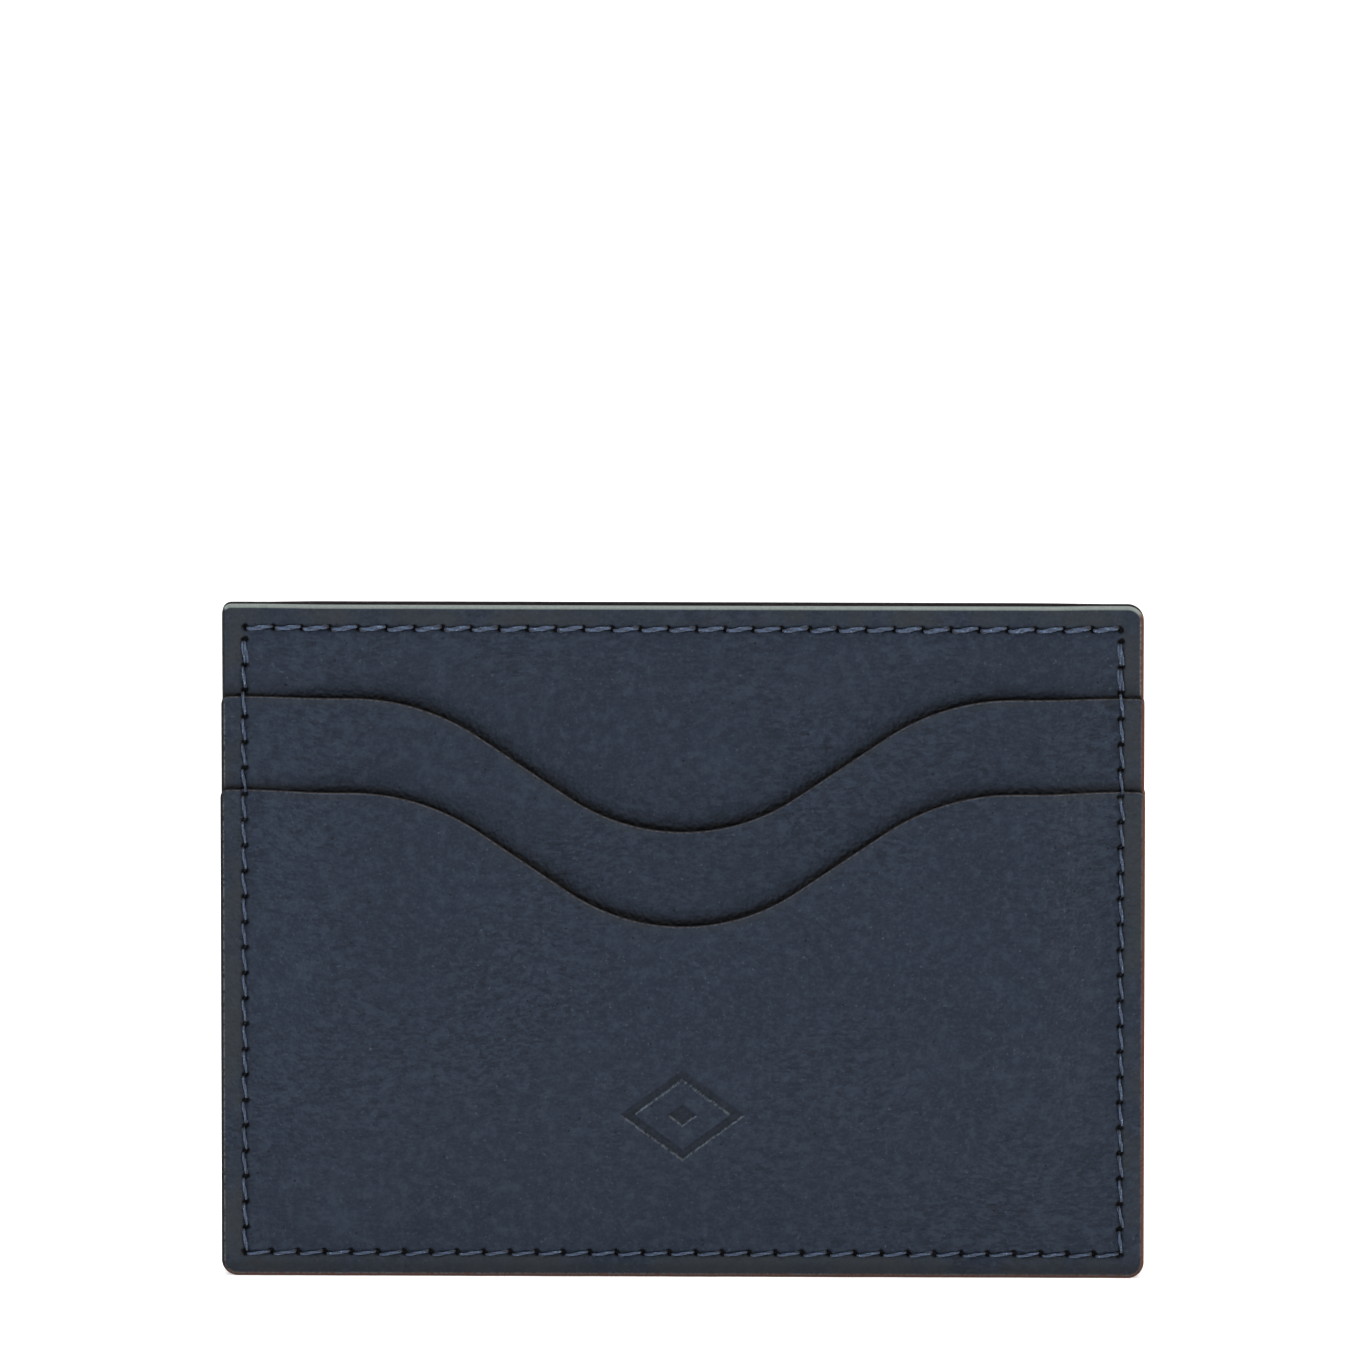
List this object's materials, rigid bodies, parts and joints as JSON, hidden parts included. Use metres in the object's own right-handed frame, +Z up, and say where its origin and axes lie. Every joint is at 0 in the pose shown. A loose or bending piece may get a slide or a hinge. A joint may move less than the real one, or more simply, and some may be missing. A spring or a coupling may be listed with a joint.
{
  "type": "card holder",
  "caption": "Flat sewn leather card holder with wave-mouthed card pockets on both faces and an open centre slot along the top edge.",
  "frame": {"origin": "centre of the bottom edge, on the surface it stands on", "axes": "+X across the width to the right as seen from the front, +Y from the front face to the back face, +Z up towards the open slot"},
  "size_m": [0.102, 0.0096, 0.075],
  "materials": {
    "navy_leather": "vegetable-tanned cowhide dyed navy, fine grain, satin, raw edges burnished reddish brown",
    "facing_leather": "thin navy lining leather, matt",
    "seam_thread": "waxed twisted thread, mid blue"
  },
  "bodies": {
    "root": {"front_panel": "navy_leather", "front_mouth_facing": "facing_leather", "front_upper_pocket": "navy_leather", "front_lower_pocket": "navy_leather", "back_panel": "navy_leather", "back_mouth_facing": "facing_leather", "back_upper_pocket": "navy_leather", "back_lower_pocket": "navy_leather", "front_hem_needle_thread": "seam_thread", "front_hem_bobbin_thread": "seam_thread", "front_card_stop_needle_thread": "seam_thread", "front_card_stop_bobbin_thread": "seam_thread", "back_hem_needle_thread": "seam_thread", "back_hem_bobbin_thread": "seam_thread", "back_card_stop_needle_thread": "seam_thread", "back_card_stop_bobbin_thread": "seam_thread", "assembly_needle_thread": "seam_thread", "assembly_bobbin_thread": "seam_thread"}
  },
  "joints": []
}
